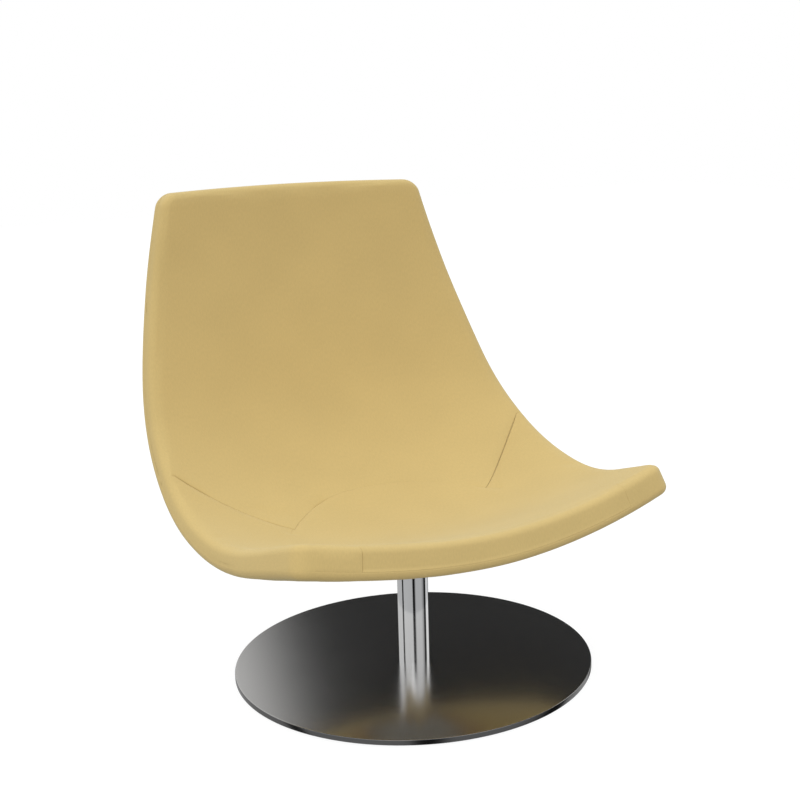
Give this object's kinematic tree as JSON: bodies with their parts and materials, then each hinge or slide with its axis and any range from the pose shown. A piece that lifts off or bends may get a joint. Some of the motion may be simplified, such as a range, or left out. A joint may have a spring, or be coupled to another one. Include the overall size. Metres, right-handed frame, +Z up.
{
  "type": "pedestal swivel armchair",
  "caption": "Upholstered shell armchair with a curved one-piece seat and back that turns on a chromed column over a flat round base.",
  "frame": {"origin": "on the floor under the swivel axis, the centre of the round base plate", "axes": "+Z up along the swivel axis, -Y the way the sitter faces, +X to the sitter's left"},
  "size_m": [0.8578, 0.8315, 0.9181],
  "materials": {
    "floor_pad": "matt",
    "base_steel": "dark satin",
    "column_chrome": "polished",
    "steel": "plain",
    "black_steel": "matt",
    "grey_steel": "pale grey, matt",
    "bush_plastic": "matt",
    "brass": "plain",
    "plywood": "raw",
    "foam": "soft",
    "cover_fabric": "plain woven"
  },
  "bodies": {
    "base": {"floor_pad": "floor_pad", "base_plate": "base_steel", "base_screws": "steel", "foot_plug": "steel", "column_tube": "column_chrome", "lower_bush": "bush_plastic", "upper_bush": "bush_plastic", "thrust_race_lower": "steel", "thrust_cage": "brass", "thrust_balls": "column_chrome"},
    "seat": {"thrust_race_upper": "steel", "swivel_spindle": "steel", "retaining_washer": "steel", "retaining_ring": "black_steel", "column_cover": "column_chrome", "seat_plate": "grey_steel", "seat_screws": "steel", "seat_washers": "steel", "block_inserts": "brass", "spacer_block": "plywood", "shell_core": "plywood", "front_foam": "foam", "rear_foam": "foam", "back_panel": "cover_fabric", "seat_panel": "cover_fabric", "left_corner_panel": "cover_fabric", "right_corner_panel": "cover_fabric", "outer_cover": "cover_fabric"}
  },
  "joints": [
    {"name": "seat_swivel", "type": "hinge", "parent": "base", "child": "seat", "pos_m": [0, 0, 0.2], "axis": [0, 0, 1], "continuous": true}
  ]
}
